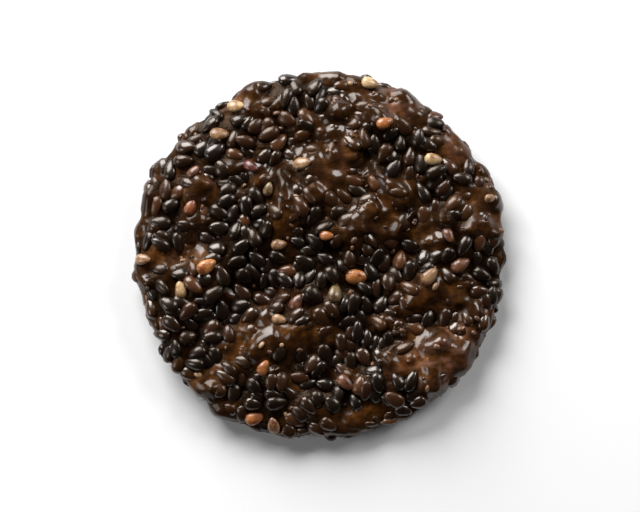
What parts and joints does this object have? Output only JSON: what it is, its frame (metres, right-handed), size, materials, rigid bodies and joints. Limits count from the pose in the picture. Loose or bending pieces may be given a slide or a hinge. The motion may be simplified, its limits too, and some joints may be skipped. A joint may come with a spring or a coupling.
{
  "type": "rice cracker",
  "caption": "Round glazed brown rice cracker, blistered in the oven and thickly set with black sesame seeds; a dry snack that lies flat.",
  "frame": {"origin": "middle of the round on the surface that the cracker rests on", "axes": "+Z up out of the better face, +X to the right and +Y up as that face is seen; the thickness is along Z"},
  "size_m": [0.0546, 0.0548, 0.0069],
  "materials": {
    "baked_dough": "dark brown baked rice dough under a thin glossy soy glaze, a little translucent and redder where it is bare",
    "black_sesame": "black sesame seeds, hard and slightly grey-blue, with small sharp highlights",
    "pale_sesame": "toasted seeds and rice bits, from straw to orange-brown, satin"
  },
  "bodies": {
    "root": {"cracker": "baked_dough"}
  },
  "joints": []
}
